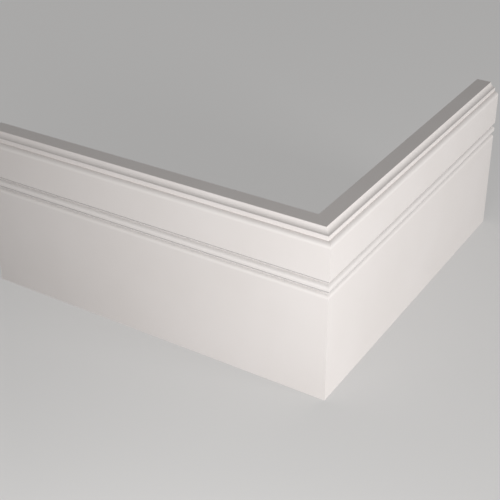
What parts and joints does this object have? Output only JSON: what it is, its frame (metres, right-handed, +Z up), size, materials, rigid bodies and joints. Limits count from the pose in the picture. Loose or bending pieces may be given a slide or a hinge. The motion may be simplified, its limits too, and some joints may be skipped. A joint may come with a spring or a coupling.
{
  "type": "skirting board",
  "caption": "White painted skirting board turning an outside wall corner: mitred lengths with a stepped cove and ovolo top edge and a sunk bead between grooves across the face.",
  "frame": {"origin": "the wall's outside corner at floor level, which is the bottom of the arris where the two boards' backs meet", "axes": "+Z up; the left board runs along -X with its back on the plane Y = 0, the right board runs along +Y with its back on the plane X = 0, and both faces look away from the wall"},
  "size_m": [0.2725, 0.2725, 0.12],
  "materials": {
    "white_paint": "satin warm-white paint over medium-density fibreboard"
  },
  "bodies": {
    "root": {"left_board": "white_paint", "right_board": "white_paint"}
  },
  "joints": []
}
